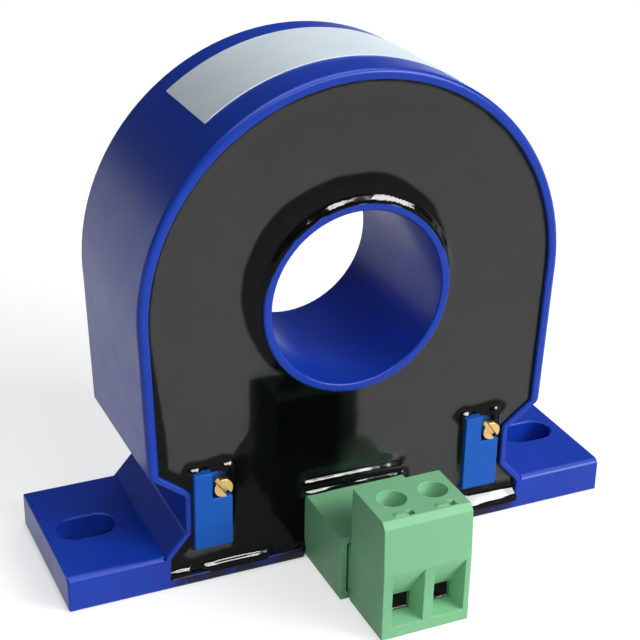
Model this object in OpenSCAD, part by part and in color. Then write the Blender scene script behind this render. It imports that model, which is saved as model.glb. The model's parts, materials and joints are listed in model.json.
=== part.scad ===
// Current transducer: an arched, resin-filled housing on two slotted feet, with a
// cable aperture, two trimming screws and a two-way pluggable screw terminal.
// Millimetres. +X is right, +Z is up and the open, resin-filled front faces -Y.
// The origin lies on the base plane, midway between the two mounting slots.

/* [Feet] */
// Overall width across both mounting feet
base_w = 70; // [68:1:84]
// Depth of the feet and of the narrow neck above them
foot_d = 20; // [18:0.5:21]
// Thickness of a mounting foot
foot_t = 4.3; // [3:0.1:5.5]
// Distance from the middle to the inner end of a foot's top face
foot_in_x = 23.5; // [22.6:0.1:25]
// Width of a mounting slot across the foot
slot_w = 4.5; // [3.2:0.1:5.5]
// Distance from a mounting slot to the outer end of its foot
slot_outer_wall = 1.5; // [1:0.1:2.5]
// Distance from a mounting slot to the inner end of its foot's top face
slot_inner_wall = 3; // [2:0.1:4.5]

/* [Housing shell] */
// Depth of the arched body from its open front to its closed back
body_d = 21.2; // [19:0.1:26]
// Outside radius of the arched top
arch_r = 25.9; // [25.4:0.1:28]
// Height of the centre of the arch above the base
arch_z = 33.4; // [32:0.1:38]
// Half width of the body at the lower end of its sides
side_x = 25.2; // [24.4:0.1:25.4]
// Height of the lower end of the sides
side_z = 15; // [14:0.1:16.5]
// Half width of the neck between the body and the feet
neck_x = 20.95; // [20.3:0.05:22]
// Height of the upper end of the neck
neck_top_z = 11.8; // [10.5:0.1:12.5]
// Height of the lower end of the neck
neck_low_z = 7.2; // [6.2:0.1:8.5]
// Wall thickness of the arch and the sides
wall = 1.25; // [0.8:0.05:2]
// Wall thickness of the neck and of its two slanted ends
neck_wall = 0.8; // [0.6:0.05:1.2]
// Thickness of the housing floor between the feet
floor_t = 1.2; // [0.8:0.1:1.8]
// Thickness of the closed back
back_wall = 1.5; // [0.8:0.1:2.2]
// Thickness of the lip left inside each foot's top corner
foot_lip = 0.7; // [0.4:0.1:1.2]
// Size of the bevel along the front edges of the feet
foot_bevel = 0.5; // [0.2:0.1:1]

/* [Cable aperture] */
// Radius of the round cable aperture
bore_r = 10.5; // [8:0.1:11]
// Height of the aperture's axis above the base
bore_z = 32.85; // [32.2:0.05:34]
// Wall thickness of the aperture tube
tube_wall = 1.05; // [0.8:0.05:1.5]

/* [Resin filling] */
// Depth of the resin surface behind the open front edge
pot_recess = 0.6; // [0.3:0.1:1.5]
// Width of the ring of resin that has crept up the aperture tube
collar_w = 3.2; // [1:0.1:4]
// Height of that ring above the resin surface
collar_h = 0.5; // [0.1:0.05:0.55]
// Width of the resin that has crept up around each trimmer
hump_w = 1.1; // [0.4:0.1:1.6]
// Height of that resin above the resin surface
hump_h = 0.45; // [0.1:0.05:0.8]

/* [Core and winding] */
// Radial space between the aperture tube and the winding
core_gap = 0.4; // [0.2:0.1:1]
// Radial width of the ring core
core_radial = 5; // [3:0.1:6]
// Distance from the housing's open front to the winding
winding_front_gap = 4; // [3:0.1:5]
// Space between the winding and the inside of the closed back
winding_back_gap = 2.5; // [1.5:0.1:4]
// Thickness of the insulating tape around the core
tape_t = 0.5; // [0.2:0.1:0.8]
// Thickness of the copper winding around the tape
winding_t = 1.6; // [0.8:0.1:1.8]
// Angle left free between the two ends of the winding
winding_gap_deg = 14; // [8:1:24]
// Radius of a lead wire
lead_r = 0.35; // [0.2:0.05:0.5]

/* [Circuit board] */
// Thickness of the circuit board
board_t = 1.6; // [1:0.2:2]
// Space between the board's ends and the neck walls
board_gap = 0.4; // [0.2:0.1:1]
// Height of the board's lower edge above the base
board_low_z = 2; // [1.9:0.1:2.4]
// Height of the board's two shoulders above the base
board_top_z = 15.6; // [15:0.1:16]
// Space between the board's curved edge and the winding
board_core_gap = 0.8; // [0.4:0.1:1.4]
// Distance of the board's component groups from the middle
group_x = 10.2; // [9.8:0.1:10.8]
// Length of the amplifier chip's body
chip_l = 8.7; // [6:0.1:9]
// Width of the amplifier chip's body
chip_w = 3.9; // [3:0.1:4.5]
// Height of the amplifier chip's body
chip_h = 1.5; // [1:0.1:2]
// Pitch of the amplifier chip's leads
chip_pitch = 1.27; // [1:0.01:1.3]
// Width of an amplifier chip's lead
chip_lead_w = 0.4; // [0.3:0.05:0.6]
// Thickness of an amplifier chip's lead
chip_lead_t = 0.25; // [0.15:0.05:0.4]
// Length of a chip lead beside the chip's body
chip_lead_l = 1; // [0.6:0.1:1.1]
// Height of the middle of the chip, the rectifier and the capacitor above the base
part_mid_z = 6.4; // [6.3:0.1:6.6]
// Length of the rectifier's body
bridge_l = 6.5; // [5:0.1:6.8]
// Width of the rectifier's body
bridge_w = 4.6; // [4:0.1:4.8]
// Width of a rectifier's lead
bridge_lead_w = 1; // [0.6:0.1:1.4]
// Thickness of a rectifier's lead
bridge_lead_t = 0.3; // [0.15:0.05:0.4]
// Length of a rectifier lead beside the rectifier's body
bridge_lead_l = 0.9; // [0.5:0.1:1]
// Space between the board and the bodies of the chip and the rectifier
body_standoff = 0.1; // [0.05:0.05:0.2]
// Height of the rectifier's body
bridge_h = 1.6; // [1:0.1:2]
// Radius of the smoothing capacitor's can
cap_r = 3.15; // [2:0.05:3.3]
// Length of the smoothing capacitor's can
cap_l = 6.8; // [5:0.1:7.4]
// Radius of the burden resistor's body
burden_r = 1.2; // [0.8:0.05:1.4]
// Length of the burden resistor's body
burden_l = 5.6; // [4:0.1:6]
// Height of the burden resistor's axis above the base
burden_z = 9.4; // [9.3:0.1:9.8]
// Radius of the surge diode's body
diode_r = 1.1; // [0.8:0.05:1.3]
// Length of the surge diode's body
diode_l = 4.6; // [3.5:0.1:5.2]
// Height of the surge diode's axis above the base
diode_z = 3.3; // [3.1:0.1:3.4]
// Radius of the wires of the burden resistor and the surge diode
wire_r = 0.3; // [0.2:0.05:0.4]
// Distance from the end of a resistor or diode body to its bent wire
wire_reach = 0.9; // [0.6:0.1:1]
// Length of wire that stands out behind the circuit board
wire_tail = 0.6; // [0.3:0.1:1]
// Length of a chip resistor
smd_l = 2; // [1.6:0.1:2.4]
// Width of a chip resistor
smd_w = 1.25; // [0.8:0.05:1.3]
// Height of a chip resistor
smd_h = 0.5; // [0.3:0.1:0.8]
// Distance between the chip resistors
smd_step = 4; // [3.8:0.1:4.2]
// Height of the row of chip resistors above the base
smd_z = 8.4; // [7.6:0.1:8.6]
// Height of the lower ends of the winding's leads above the base
lead_low_z = 9.8; // [9.6:0.1:10.4]

/* [Trimmers] */
// Width of a trimmer body across the front
trimmer_w = 4.6; // [4:0.1:4.9]
// Height of a trimmer body
trimmer_h = 9.8; // [9:0.1:10.2]
// Depth of a trimmer body
trimmer_d = 10; // [8:0.1:10.5]
// Height of the middle of the trimmers above the base
trimmer_z = 9.75; // [9.4:0.05:10]
// Distance by which a trimmer face stands in front of the housing edge
trimmer_proud = 0.6; // [0.2:0.1:1.4]
// Space between the left-hand trimmer and the neck wall
zero_trimmer_gap = 0.05; // [0.05:0.05:1]
// Space between the right-hand trimmer and the neck wall
span_trimmer_gap = 0.9; // [0.05:0.05:1.2]
// Width of the corner notch that holds the adjusting screw
notch_w = 2.4; // [2.3:0.05:2.6]
// Height of the corner notch
notch_h = 3.4; // [3:0.1:3.8]
// Depth of the corner notch
notch_d = 1.3; // [0.8:0.1:2]
// Radius of the adjusting screw's head
adj_head_r = 1.12; // [0.9:0.02:1.12]
// Length of the adjusting screw's head
adj_head_l = 1.5; // [1:0.1:2]
// Radius of the adjusting screw's shank
adj_shank_r = 0.6; // [0.4:0.05:0.8]
// Length of the adjusting screw's shank inside the trimmer
adj_shank_l = 6; // [4:0.1:6.5]
// Width of the screwdriver slot in the adjusting screw
adj_slot_w = 0.5; // [0.3:0.05:0.6]
// Depth of the screwdriver slot in the adjusting screw
adj_slot_d = 0.7; // [0.4:0.05:0.9]
// Angle at which the adjusting screws' slots are left
adj_turn = -35; // [-90:1:90]
// Distance of the adjusting screw's axis from the trimmer's side
adj_side = 1.16; // [1.14:0.01:1.2]
// Distance of the adjusting screw's axis from the trimmer's top
adj_top = 2.1; // [1.3:0.1:2.2]
// Pitch of a trimmer's three pins
trimmer_pin_pitch = 2.54; // [2:0.01:2.6]
// Radius of a trimmer's pins
trimmer_pin_r = 0.26; // [0.2:0.02:0.32]

/* [Terminal block] */
// Distance of the terminal's middle from the middle of the housing
term_x = 0.4; // [-1:0.1:0.8]
// Height of the underside of the terminal above the base
term_z = 0.2; // [0.1:0.05:0.3]
// Distance between the two poles
pole_pitch = 5.08; // [5:0.01:5.1]
// Sideways offset of the poles from the terminal's middle
pole_offset = 0.24; // [0:0.02:0.3]
// Overall width of the plug
plug_w = 10.8; // [10.7:0.1:11.2]
// Overall height of the plug
plug_h = 14.8; // [14:0.1:16]
// Depth of the plug in front of the header
plug_d = 8.35; // [8.2:0.05:9.5]
// Length of the part of the plug that enters the header
plug_tongue_l = 9.8; // [9:0.1:9.9]
// Distance by which the plug's front leans back towards its top
plug_lean = 0.3; // [0:0.05:0.4]
// Size of the bevel along the plug's upper front edge
plug_bevel = 0.7; // [0.3:0.1:1]
// Length of the header along its plug direction
header_l = 12; // [11.4:0.1:12.4]
// Height of the header
header_h = 8.2; // [8.2:0.1:9]
// Distance by which the header is sunk behind the housing's front edge
header_sunk = 2.25; // [1.5:0.05:2.5]
// Thickness of the header's side walls
header_wall = 0.7; // [0.5:0.05:1]
// Thickness of the header's floor
header_floor = 1; // [0.7:0.1:1]
// Thickness of the header's roof
header_roof = 0.75; // [0.7:0.05:1]
// Thickness of the header's back
header_back = 2; // [1.5:0.1:2.1]
// Clearance around the plug in the header
plug_clearance = 0.25; // [0.1:0.05:0.3]
// Space between the header's front edge and the plug's shoulder
shoulder_gap = 0.3; // [0.1:0.05:0.5]
// Width of a square contact pin
pin_w = 1; // [0.8:0.05:1.05]
// Height of the pins above the underside of the terminal
pin_height = 4.2; // [4.1:0.05:4.3]
// Distance of the pin tips behind the header's front edge
pin_tip_inset = 2.5; // [2:0.1:4]
// Length of pin that stands out behind the circuit board
pin_tail = 1.2; // [0.8:0.1:1.6]

/* [Wire clamps] */
// Width of a funnel mouth on the plug's front
mouth_w = 3.9; // [3.6:0.1:4]
// Height of the lower edge of a funnel mouth above the plug's underside
mouth_low = 1.4; // [1.2:0.1:1.6]
// Height of a funnel mouth
mouth_h = 6.7; // [5:0.1:7]
// Height of the wire passage above the lower edge of the funnel mouth
mouth_step = 0.4; // [0.2:0.05:0.6]
// Height above the funnel mouths at which the plug's front starts to lean back
lean_start = 0.3; // [0.1:0.1:1]
// Depth of the funnel
mouth_d = 2.2; // [1.6:0.1:2.2]
// Width of the wire passage
wire_w = 2.8; // [2.4:0.1:2.8]
// Height of the wire passage
wire_h = 2.3; // [2:0.1:2.4]
// Outside width of a clamp cage
cage_w = 3.9; // [3.8:0.05:3.9]
// Outside length of a clamp cage along the wire
cage_l = 4.4; // [4:0.1:4.4]
// Thickness of a clamp cage's lower bar
cage_bar = 0.7; // [0.5:0.05:0.8]
// Thickness of a clamp cage's threaded top
cage_top = 2; // [1.5:0.1:2]
// Height of the window in a clamp cage
cage_window = 4; // [3.8:0.1:4]
// Travel of a clamp cage from open to closed
cage_travel = 2.25; // [1.5:0.05:2.25]
// Clearance between a clamp cage and the plug
cage_clearance = 0.13; // [0.1:0.01:0.15]
// Distance of the clamp screws' axes from the plug's front
clamp_inset = 4.95; // [4.95:0.05:5.1]
// Radius of a clamp screw's head
clamp_head_r = 1.55; // [1.4:0.05:1.6]
// Height of a clamp screw's head
clamp_head_h = 1.5; // [1:0.1:2]
// Depth of the screw wells below the plug's top
well_d = 3.6; // [3:0.1:3.8]
// Radius of a clamp screw's shank
clamp_shank_r = 1.2; // [1:0.05:1.25]
// Width of a clamp screw's screwdriver slot
clamp_slot_w = 0.6; // [0.4:0.05:0.8]
// Depth of a clamp screw's screwdriver slot
clamp_slot_d = 0.7; // [0.5:0.05:0.9]
// Angle at which the clamp screws' slots are left
clamp_turn = 30; // [-90:1:90]
// Thickness of the contact strip above the wire passage
strip_t = 0.8; // [0.6:0.05:0.9]
// Distance from a cage's front to the front end of its contact strip
strip_inset = 0.2; // [0.1:0.05:0.5]
// Distance from a cage's pocket to its spring contact
contact_gap = 1.5; // [1:0.1:2]
// Thickness of the end wall of a spring contact
contact_wall = 0.4; // [0.3:0.05:0.6]
// Distance from the plug's inner end to the spring contacts
contact_cover = 2; // [1.5:0.1:2.5]
// Outside width of a spring contact
contact_w = 2.4; // [2.2:0.1:2.5]
// Outside height of a spring contact
contact_h = 2; // [1.9:0.05:2.1]
// Clearance between a contact pin and its spring contact
pin_clearance = 0.1; // [0.05:0.01:0.15]
// Width of a test slot in the plug's top
test_w = 0.7; // [0.4:0.1:1]
// Length of a test slot along the plug
test_l = 0.9; // [0.6:0.1:1]
// Distance from a pole's axis to its test slot
test_offset = 0.35; // [0.1:0.05:0.5]
// Depth of a test slot
test_d = 2; // [1:0.1:3]
// Distance of the test slots and the marking fields from the plug's front
top_inset = 1.3; // [1.1:0.05:1.4]
// Length of a raised marking field across the plug's top
mark_l = 1.4; // [0.8:0.1:1.6]
// Width of a raised marking field along the plug
mark_w = 0.8; // [0.5:0.1:1]
// Distance from a pole's axis to the outer end of its marking field
mark_offset = 1.35; // [1.2:0.05:1.4]
// Height of a raised marking field
mark_h = 0.12; // [0.05:0.01:0.2]

/* [Label] */
// Thickness of the label
label_t = 0.12; // [0.05:0.01:0.2]
// Width of the label along the depth of the housing
label_w = 12.3; // [8:0.1:14]
// Distance from the housing's front edge to the label
label_inset = 5.2; // [3:0.1:6]
// Angle of the arch that the label covers
label_deg = 77.4; // [40:0.2:120]

/* [Fits] */
// Radial clearance of the turning screws in their holes
turn_clearance = 0.05; // [0.02:0.01:0.08]
// Clearance between a fixed piece and the hole it passes through
hole_clearance = 0.1; // [0.05:0.01:0.2]

/* [Hidden] */
$fn = 96;
eps = 0.02;

// Planes along the depth
front_y = -foot_d / 2;
foot_back_y = foot_d / 2;
body_back_y = front_y + body_d;
pot_y = front_y + pot_recess;

// Mounting slots
slot_l = max(slot_w, base_w / 2 - foot_in_x - slot_inner_wall - slot_outer_wall);
slot_x = base_w / 2 - slot_outer_wall - slot_l / 2;

// Points of the shell's outline and of its inside
neck_in_x = neck_x - neck_wall;
side_in_x = side_x - wall;
block_x = foot_in_x - foot_lip;
upper_dx = side_x - neck_x;
upper_dz = side_z - neck_top_z;
upper_shift = neck_wall * sqrt(upper_dx * upper_dx + upper_dz * upper_dz) / upper_dz;
lower_dx = foot_in_x - neck_x;
lower_dz = neck_low_z - foot_t;
lower_shift = neck_wall * sqrt(lower_dx * lower_dx + lower_dz * lower_dz) / lower_dz;
side_in_z = neck_top_z + (side_in_x + upper_shift - neck_x) * upper_dz / upper_dx;
neck_in_top_z = neck_top_z + (upper_shift - neck_wall) * upper_dz / upper_dx;
neck_in_low_z = neck_low_z - (lower_shift - neck_wall) * lower_dz / lower_dx;
block_z = neck_low_z - (block_x + lower_shift - neck_x) * lower_dz / lower_dx;

// Aperture, core and winding
tube_r = bore_r + tube_wall;
core_in_r = tube_r + core_gap + winding_t + tape_t;
core_out_r = core_in_r + core_radial;
winding_out_r = core_out_r + tape_t + winding_t;
winding_len = body_d - back_wall - winding_front_gap - winding_back_gap;
core_len = winding_len - 2 * tape_t - 2 * winding_t;
core_y = front_y + winding_front_gap + winding_len / 2;

// Trimmers
trimmer_face_y = front_y - trimmer_proud;
zero_trimmer_x = -(neck_in_x - zero_trimmer_gap - trimmer_w / 2);
span_trimmer_x = neck_in_x - span_trimmer_gap - trimmer_w / 2;
adj_x = trimmer_w / 2 - adj_side;
adj_z = trimmer_h / 2 - adj_top;

// Circuit board: the chip has this many leads on each side of its middle lead
chip_side = 3;
board_y = trimmer_face_y + trimmer_d;
board_back_y = board_y + board_t;
board_half = neck_in_x - board_gap;
lead_x = winding_out_r * sin(winding_gap_deg / 2) + lead_r;

// Terminal block
header_w = plug_w + 2 * plug_clearance + 2 * header_wall;
header_back_y = front_y + header_sunk;
header_front_y = header_back_y - header_l;
plug_back_y = header_front_y - shoulder_gap;
plug_front_y = plug_back_y - plug_d;
tongue_tip_y = plug_back_y + plug_tongue_l;
tongue_low_z = term_z + header_floor + plug_clearance;
header_in_top_z = term_z + header_h - header_roof;
tongue_top_z = header_in_top_z - plug_clearance;
pole_x = [
    term_x + pole_offset - pole_pitch / 2,
    term_x + pole_offset + pole_pitch / 2
];
pin_z = term_z + pin_height;
pin_tip_y = header_front_y + pin_tip_inset;

// Wire clamps
clamp_y = plug_front_y + clamp_inset;
wire_low_z = term_z + mouth_low + mouth_step;
cage_low_z = wire_low_z - cage_bar;
cage_top_z = wire_low_z + cage_window + cage_top;
pocket_low_z = cage_low_z - cage_clearance;
pocket_top_z = cage_top_z + cage_travel + cage_clearance;
well_z = term_z + plug_h - well_d;
contact_top_z = pin_z + contact_h / 2;
strip_low_z = contact_top_z - strip_t;
shank_low_z = contact_top_z + cage_clearance;
contact_front_y = clamp_y + cage_l / 2 + cage_clearance + contact_gap;
contact_back_y = tongue_tip_y - contact_cover;

// Extrudes an outline drawn in X and Z from one depth to another
module along_y(y0, y1) {
    translate([0, y1, 0])
        rotate([90, 0, 0])
            linear_extrude(height = y1 - y0)
                children();
}

// Extrudes an outline drawn in Y and Z from one side to another
module along_x(x0, x1) {
    translate([x0, 0, 0])
        rotate([90, 0, 90])
            linear_extrude(height = x1 - x0)
                children();
}

// Places its children on the aperture's axis, turned so that Z becomes Y
module on_bore(y) {
    translate([0, y, bore_z])
        rotate([-90, 0, 0])
            children();
}

// Cylinder along Y between two depths
module rod_y(x, z, r, y0, y1) {
    translate([x, y0, z])
        rotate([-90, 0, 0])
            cylinder(r = r, h = y1 - y0);
}

// Box given by its middle in X and Z and its two ends in Y
module bar_y(x, z, w, h, y0, y1) {
    translate([x - w / 2, y0, z - h / 2])
        cube([w, y1 - y0, h]);
}

module upper_outline() {
    translate([0, arch_z])
        circle(r = arch_r);
    polygon([
        [arch_r, arch_z], [-arch_r, arch_z], [-side_x, side_z],
        [-neck_x, neck_top_z], [neck_x, neck_top_z], [side_x, side_z]
    ]);
}

module lower_outline() {
    polygon([
        [neck_x, neck_top_z], [-neck_x, neck_top_z], [-neck_x, neck_low_z],
        [-foot_in_x, foot_t], [-base_w / 2, foot_t], [-base_w / 2, 0],
        [base_w / 2, 0], [base_w / 2, foot_t], [foot_in_x, foot_t],
        [neck_x, neck_low_z]
    ]);
}

module upper_inside() {
    translate([0, arch_z])
        circle(r = arch_r - wall);
    polygon([
        [arch_r - wall, arch_z], [wall - arch_r, arch_z], [-side_in_x, side_in_z],
        [-neck_in_x, neck_in_top_z], [neck_in_x, neck_in_top_z], [side_in_x, side_in_z]
    ]);
}

module lower_inside() {
    polygon([
        [neck_in_x, neck_in_top_z], [-neck_in_x, neck_in_top_z],
        [-neck_in_x, neck_in_low_z], [-block_x, block_z], [-block_x, floor_t],
        [block_x, floor_t], [block_x, block_z], [neck_in_x, neck_in_low_z]
    ]);
}

// The hollow of the housing, from a given depth to the inside of its back
module hollow(y0) {
    along_y(y0, body_back_y - back_wall)
        upper_inside();
    along_y(y0, foot_back_y - back_wall)
        lower_inside();
}

// Long hole with round ends, drawn in X and Y
module slot_outline() {
    reach = (slot_l - slot_w) / 2;
    square([2 * reach, slot_w], center = true);
    for (side = [-1, 1])
        translate([side * reach, 0])
            circle(d = slot_w);
}

module mounting_slots() {
    for (side = [-1, 1])
        translate([side * slot_x, 0, -1])
            linear_extrude(height = foot_t + 2)
                slot_outline();
}

// Bevel along the upper front edge of each foot
module foot_bevels() {
    for (side = [-1, 1])
        along_x(side < 0 ? -base_w / 2 - 1 : foot_in_x, side < 0 ? -foot_in_x : base_w / 2 + 1)
            polygon([
                [front_y - 1, foot_t + 1], [front_y - 1, foot_t - foot_bevel - 1],
                [front_y + foot_bevel + 1, foot_t + 1]
            ]);
}

// Space in the front of the housing floor for the header
module header_notch() {
    translate([term_x - header_w / 2 - hole_clearance, front_y - 1, -1])
        cube([
            header_w + 2 * hole_clearance,
            header_sunk + 1 + hole_clearance,
            floor_t + 1 + eps
        ]);
}

module housing() {
    color([0.13, 0.22, 0.66])
        difference() {
            union() {
                difference() {
                    union() {
                        along_y(front_y, body_back_y)
                            upper_outline();
                        along_y(front_y, foot_back_y)
                            lower_outline();
                    }
                    hollow(front_y - 1);
                }
                on_bore(front_y)
                    cylinder(r = tube_r, h = body_d);
            }
            on_bore(front_y - 1)
                cylinder(r = bore_r, h = body_d + 2);
            mounting_slots();
            foot_bevels();
            header_notch();
        }
}

// Ring of resin that has crept up the outside of the aperture tube
module resin_collar() {
    on_bore(pot_y)
        rotate_extrude()
            polygon([
                [tube_r, 0], [tube_r, -collar_h], [tube_r + collar_w / 8, -collar_h * 0.7],
                [tube_r + collar_w * 0.4, -collar_h * 0.28], [tube_r + collar_w, 0]
            ]);
}

// Resin that has crept up around one trimmer
module resin_hump(x) {
    hull() {
        bar_y(x, trimmer_z, trimmer_w + 2 * hump_w, trimmer_h + 2 * hump_w, pot_y, pot_y + eps);
        bar_y(x, trimmer_z, trimmer_w + eps, trimmer_h + eps, pot_y - hump_h, pot_y);
    }
}

module resin_surface() {
    resin_collar();
    intersection() {
        union() {
            resin_hump(zero_trimmer_x);
            resin_hump(span_trimmer_x);
        }
        along_y(pot_y - hump_h, pot_y + 1)
            union() {
                upper_inside();
                lower_inside();
            }
    }
}

module potting_compound() {
    color([0.05, 0.05, 0.055])
        difference() {
            union() {
                hollow(pot_y);
                resin_surface();
            }
            on_bore(front_y - 1)
                cylinder(r = tube_r, h = body_d + 2);
            winding_space();
            lead_shapes();
            board_shape();
            chip_shape();
            bridge_shape();
            cap_shape();
            burden_shape();
            diode_shape();
            smd_shapes();
            trimmer_space(zero_trimmer_x);
            trimmer_space(span_trimmer_x);
            pin_shapes();
            translate([term_x - header_w / 2, front_y - 1, -1])
                cube([header_w, header_sunk + 1, term_z + header_h + 1]);
        }
}

// Rectangular ring around the aperture's axis, centred on the core
module ring(r0, r1, len) {
    on_bore(core_y)
        rotate_extrude()
            translate([r0, -len / 2])
                square([r1 - r0, len]);
}

module magnetic_core() {
    color([0.28, 0.29, 0.31])
        ring(core_in_r, core_out_r, core_len);
}

module tape_solid() {
    ring(core_in_r - tape_t, core_out_r + tape_t, core_len + 2 * tape_t);
}

module core_insulation() {
    color([0.92, 0.86, 0.55])
        difference() {
            tape_solid();
            ring(core_in_r, core_out_r, core_len);
        }
}

module winding_solid() {
    ring(core_in_r - tape_t - winding_t, winding_out_r, winding_len);
}

// Wedge below the aperture's axis that stays free of winding
module winding_wedge() {
    reach = winding_out_r + 2;
    half = reach * tan(winding_gap_deg / 2);
    along_y(core_y - winding_len / 2 - 1, core_y + winding_len / 2 + 1)
        polygon([[0, bore_z], [-half, bore_z - reach], [half, bore_z - reach]]);
}

module secondary_winding() {
    color([0.72, 0.38, 0.2])
        difference() {
            winding_solid();
            tape_solid();
            winding_wedge();
            lead_shapes();
        }
}

// All the room that core, tape and winding take up in the resin
module winding_space() {
    difference() {
        winding_solid();
        difference() {
            winding_wedge();
            tape_solid();
        }
    }
}

module lead_shapes() {
    for (side = [-1, 1])
        translate([side * lead_x, board_back_y + lead_r, lead_low_z])
            cylinder(r = lead_r, h = bore_z - winding_out_r + winding_t - lead_low_z, $fn = 48);
}

module winding_leads() {
    color([0.78, 0.42, 0.22])
        lead_shapes();
}

module board_shape() {
    difference() {
        along_y(board_y, board_back_y)
            difference() {
                translate([-board_half, board_low_z])
                    square([2 * board_half, board_top_z - board_low_z]);
                translate([0, bore_z])
                    circle(r = winding_out_r + board_core_gap);
            }
        for (x = pole_x)
            rod_y(x, pin_z, pin_w / sqrt(2) + hole_clearance, board_y - 1, board_back_y + 1);
        trimmer_pin_set(zero_trimmer_x, hole_clearance);
        trimmer_pin_set(span_trimmer_x, hole_clearance);
        wire_ends(burden_z, burden_l, hole_clearance);
        wire_ends(diode_z, diode_l, hole_clearance);
    }
}

module circuit_board() {
    color([0.1, 0.42, 0.22])
        board_shape();
}

// Chip body with two rows of leads that stand on the back of the board
module chip_shape() {
    translate([-group_x - chip_l / 2, board_back_y + body_standoff, part_mid_z - chip_w / 2])
        cube([chip_l, chip_h, chip_w]);
    for (i = [-chip_side : chip_side])
        translate([
            -group_x + i * chip_pitch - chip_lead_w / 2,
            board_back_y,
            part_mid_z - chip_w / 2 - chip_lead_l
        ])
            cube([chip_lead_w, chip_lead_t, chip_w + 2 * chip_lead_l]);
}

module amplifier_chip() {
    color([0.12, 0.12, 0.13])
        chip_shape();
}

module bridge_shape() {
    translate([group_x - bridge_l / 2, board_back_y + body_standoff, part_mid_z - bridge_w / 2])
        cube([bridge_l, bridge_h, bridge_w]);
    for (side = [-1, 1])
        translate([
            group_x + side * bridge_l / 4 - bridge_lead_w / 2,
            board_back_y,
            part_mid_z - bridge_w / 2 - bridge_lead_l
        ])
            cube([bridge_lead_w, bridge_lead_t, bridge_w + 2 * bridge_lead_l]);
}

module rectifier_bridge() {
    color([0.15, 0.15, 0.16])
        bridge_shape();
}

module cap_shape() {
    rod_y(-group_x, part_mid_z, cap_r, board_y - cap_l, board_y);
}

module smoothing_capacitor() {
    color([0.75, 0.76, 0.78])
        cap_shape();
}

// Two bent-in wires of an axial part, from its axis back through the board
module wire_ends(z, len, extra) {
    for (side = [-1, 1])
        rod_y(
            group_x + side * (len / 2 + wire_reach), z, wire_r + extra,
            board_y - burden_r - wire_r, board_back_y + wire_tail
        );
}

// Axial part that lies on the front of the board
module axial_shape(z, r, len) {
    translate([group_x - len / 2, board_y - burden_r, z])
        rotate([0, 90, 0])
            cylinder(r = r, h = len);
    translate([group_x - len / 2 - wire_reach - wire_r, board_y - burden_r, z])
        rotate([0, 90, 0])
            cylinder(r = wire_r, h = len + 2 * wire_reach + 2 * wire_r);
    wire_ends(z, len, 0);
}

module burden_shape() {
    axial_shape(burden_z, burden_r, burden_l);
}

module diode_shape() {
    axial_shape(diode_z, diode_r, diode_l);
}

module burden_resistor() {
    color([0.45, 0.65, 0.8])
        burden_shape();
}

module surge_diode() {
    color([0.16, 0.16, 0.17])
        diode_shape();
}

module smd_shapes() {
    for (i = [-1, 0, 1])
        translate([
            term_x + pole_offset + i * smd_step - smd_l / 2,
            board_back_y,
            smd_z - smd_w / 2
        ])
            cube([smd_l, smd_h, smd_w]);
}

module chip_resistors() {
    color([0.2, 0.2, 0.22])
        smd_shapes();
}

module trimmer_solid(x) {
    bar_y(x, trimmer_z, trimmer_w, trimmer_h, trimmer_face_y, board_y);
}

// Room that a trimmer with its pins takes up in the resin
module trimmer_space(x) {
    trimmer_solid(x);
    trimmer_pin_set(x, 0);
}

module trimmer_body(x) {
    difference() {
        trimmer_solid(x);
        translate([
            x + trimmer_w / 2 - notch_w,
            trimmer_face_y - 1,
            trimmer_z + trimmer_h / 2 - notch_h
        ])
            cube([notch_w + 1, notch_d + 1, notch_h + 1]);
        rod_y(
            x + adj_x, trimmer_z + adj_z, adj_shank_r + turn_clearance,
            trimmer_face_y, trimmer_face_y + notch_d + adj_shank_l + hole_clearance
        );
    }
}

// Slotted adjusting screw, turning on an axis along Y
module trimmer_screw(x) {
    seat_y = trimmer_face_y + notch_d - turn_clearance;
    difference() {
        union() {
            rod_y(x + adj_x, trimmer_z + adj_z, adj_head_r, seat_y - adj_head_l, seat_y);
            rod_y(x + adj_x, trimmer_z + adj_z, adj_shank_r, seat_y - eps, seat_y + adj_shank_l);
        }
        translate([x + adj_x, seat_y - adj_head_l, trimmer_z + adj_z])
            rotate([0, adj_turn, 0])
                cube([adj_slot_w, 2 * adj_slot_d, 2 * adj_head_r + 1], center = true);
    }
}

module trimmer_pin_set(x, extra) {
    for (i = [-1, 0, 1])
        rod_y(
            x, trimmer_z + i * trimmer_pin_pitch, trimmer_pin_r + extra,
            board_y, board_back_y + pin_tail
        );
}

module zero_trimmer_body() {
    color([0.1, 0.38, 0.8])
        trimmer_body(zero_trimmer_x);
}

module zero_trimmer_screw() {
    color([0.83, 0.68, 0.38])
        trimmer_screw(zero_trimmer_x);
}

module zero_trimmer_pins() {
    color([0.8, 0.8, 0.82])
        trimmer_pin_set(zero_trimmer_x, 0);
}

module span_trimmer_body() {
    color([0.1, 0.38, 0.8])
        trimmer_body(span_trimmer_x);
}

module span_trimmer_screw() {
    color([0.83, 0.68, 0.38])
        trimmer_screw(span_trimmer_x);
}

module span_trimmer_pins() {
    color([0.8, 0.8, 0.82])
        trimmer_pin_set(span_trimmer_x, 0);
}

module terminal_header() {
    color([0.3, 0.62, 0.38])
        difference() {
            translate([term_x - header_w / 2, header_front_y, term_z])
                cube([header_w, header_l, header_h]);
            translate([
                term_x - plug_w / 2 - plug_clearance,
                header_front_y - 1,
                term_z + header_floor
            ])
                cube([
                    plug_w + 2 * plug_clearance,
                    header_l - header_back + 1,
                    header_in_top_z - term_z - header_floor
                ]);
            pin_shapes();
        }
}

module pin_shapes() {
    for (x = pole_x)
        bar_y(x, pin_z, pin_w, pin_w, pin_tip_y, board_back_y + pin_tail);
}

module header_pins() {
    color([0.85, 0.85, 0.86])
        pin_shapes();
}

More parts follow.
